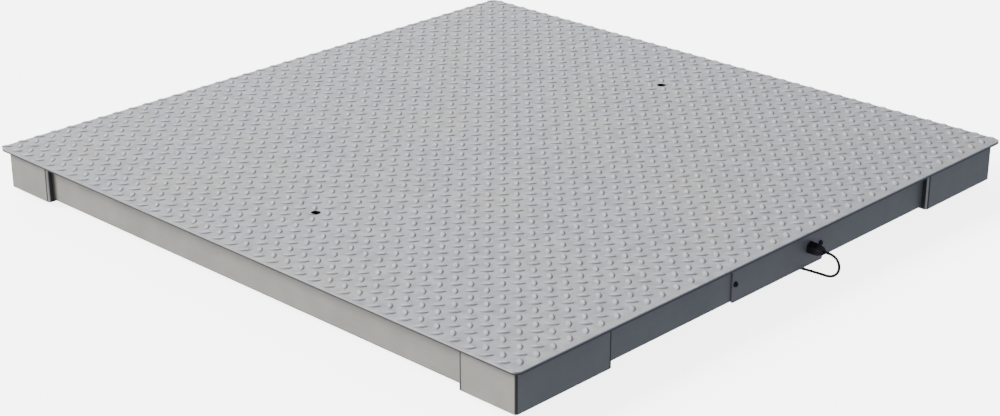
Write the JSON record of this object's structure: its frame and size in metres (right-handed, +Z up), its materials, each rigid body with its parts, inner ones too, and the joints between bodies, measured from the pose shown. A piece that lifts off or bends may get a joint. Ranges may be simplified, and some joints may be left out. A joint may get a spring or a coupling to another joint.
{
  "type": "animal weighing scale",
  "caption": "Low square floor scale for large animals: tread plate deck on a channel frame, corner blocks with load cells and levelling feet, access cover and output cable.",
  "frame": {"origin": "on the floor, under the middle of the deck", "axes": "+Z up, +X along the cable side, -Y out of the cable side"},
  "size_m": [1.5, 1.5479, 0.1],
  "materials": {
    "deck_steel": "bead-blasted tread plate, matt",
    "frame_steel": "folded sheet, matt",
    "block_steel": "folded sheet, matt",
    "cover_steel": "flat sheet, matt",
    "cell_steel": "machined and ground",
    "zinc_steel": "zinc-plated, satin",
    "pad_steel": "turned, satin",
    "box_plastic": "moulded grey plastic",
    "board_laminate": "green solder mask",
    "gland_plastic": "black nylon",
    "cable_rubber": "black cable sheath",
    "lead_rubber": "dark grey cable sheath",
    "connector_metal": "nickel-plated, satin"
  },
  "bodies": {
    "platform": {"deck_plate": "deck_steel", "lifting_bush_left": "zinc_steel", "lifting_bush_right": "zinc_steel", "front_rail": "frame_steel", "back_rail": "frame_steel", "left_rail": "frame_steel", "right_rail": "frame_steel", "deck_rib_1": "frame_steel", "deck_rib_2": "frame_steel", "deck_rib_3": "frame_steel", "deck_rib_4": "frame_steel", "corner_block_front_left": "block_steel", "load_cell_front_left": "cell_steel", "load_cell_spacer_front_left": "zinc_steel", "load_cell_bolt_inner_front_left": "zinc_steel", "load_cell_bolt_outer_front_left": "zinc_steel", "foot_lock_nut_front_left": "zinc_steel", "load_cell_lead_front_left": "lead_rubber", "corner_block_front_right": "block_steel", "load_cell_front_right": "cell_steel", "load_cell_spacer_front_right": "zinc_steel", "load_cell_bolt_inner_front_right": "zinc_steel", "load_cell_bolt_outer_front_right": "zinc_steel", "foot_lock_nut_front_right": "zinc_steel", "load_cell_lead_front_right": "lead_rubber", "corner_block_back_left": "block_steel", "load_cell_back_left": "cell_steel", "load_cell_spacer_back_left": "zinc_steel", "load_cell_bolt_inner_back_left": "zinc_steel", "load_cell_bolt_outer_back_left": "zinc_steel", "foot_lock_nut_back_left": "zinc_steel", "load_cell_lead_back_left": "lead_rubber", "corner_block_back_right": "block_steel", "load_cell_back_right": "cell_steel", "load_cell_spacer_back_right": "zinc_steel", "load_cell_bolt_inner_back_right": "zinc_steel", "load_cell_bolt_outer_back_right": "zinc_steel", "foot_lock_nut_back_right": "zinc_steel", "load_cell_lead_back_right": "lead_rubber", "access_cover": "cover_steel", "cover_screw_left": "zinc_steel", "cover_screw_right": "zinc_steel", "junction_box": "box_plastic", "junction_box_lid": "box_plastic", "junction_circuit_board": "board_laminate", "gland_body": "gland_plastic", "gland_dome_nut": "gland_plastic", "gland_lock_nut": "gland_plastic", "output_cable_tail": "cable_rubber", "output_cable": "cable_rubber", "output_cable_coil": "cable_rubber", "output_connector": "connector_metal"},
    "pad_front_left": {"foot_pad_front_left": "pad_steel"},
    "stem_front_left": {"foot_stem_front_left": "zinc_steel"},
    "pad_front_right": {"foot_pad_front_right": "pad_steel"},
    "stem_front_right": {"foot_stem_front_right": "zinc_steel"},
    "pad_back_left": {"foot_pad_back_left": "pad_steel"},
    "stem_back_left": {"foot_stem_back_left": "zinc_steel"},
    "pad_back_right": {"foot_pad_back_right": "pad_steel"},
    "stem_back_right": {"foot_stem_back_right": "zinc_steel"}
  },
  "joints": [
    {"name": "foot_front_left_extend", "type": "slide", "parent": "platform", "child": "pad_front_left", "axis": [0, 0, -1], "range_m": [0, 0.015]},
    {"name": "foot_front_left_turn", "type": "hinge", "parent": "pad_front_left", "child": "stem_front_left", "pos_m": [-0.6665, -0.66825, 0.0125], "axis": [0, 0, -1], "continuous": true},
    {"name": "foot_front_right_extend", "type": "slide", "parent": "platform", "child": "pad_front_right", "axis": [0, 0, -1], "range_m": [0, 0.015]},
    {"name": "foot_front_right_turn", "type": "hinge", "parent": "pad_front_right", "child": "stem_front_right", "pos_m": [0.6665, -0.66825, 0.0125], "axis": [0, 0, -1], "continuous": true},
    {"name": "foot_back_left_extend", "type": "slide", "parent": "platform", "child": "pad_back_left", "axis": [0, 0, -1], "range_m": [0, 0.015]},
    {"name": "foot_back_left_turn", "type": "hinge", "parent": "pad_back_left", "child": "stem_back_left", "pos_m": [-0.6665, 0.66825, 0.0125], "axis": [0, 0, -1], "continuous": true},
    {"name": "foot_back_right_extend", "type": "slide", "parent": "platform", "child": "pad_back_right", "axis": [0, 0, -1], "range_m": [0, 0.015]},
    {"name": "foot_back_right_turn", "type": "hinge", "parent": "pad_back_right", "child": "stem_back_right", "pos_m": [0.6665, 0.66825, 0.0125], "axis": [0, 0, -1], "continuous": true}
  ],
  "couplings": [
    {"joint": "foot_front_left_turn", "follows": "foot_front_left_extend", "rad_per_m": 3590.4},
    {"joint": "foot_front_right_turn", "follows": "foot_front_right_extend", "rad_per_m": 3590.4},
    {"joint": "foot_back_left_turn", "follows": "foot_back_left_extend", "rad_per_m": 3590.4},
    {"joint": "foot_back_right_turn", "follows": "foot_back_right_extend", "rad_per_m": 3590.4}
  ]
}
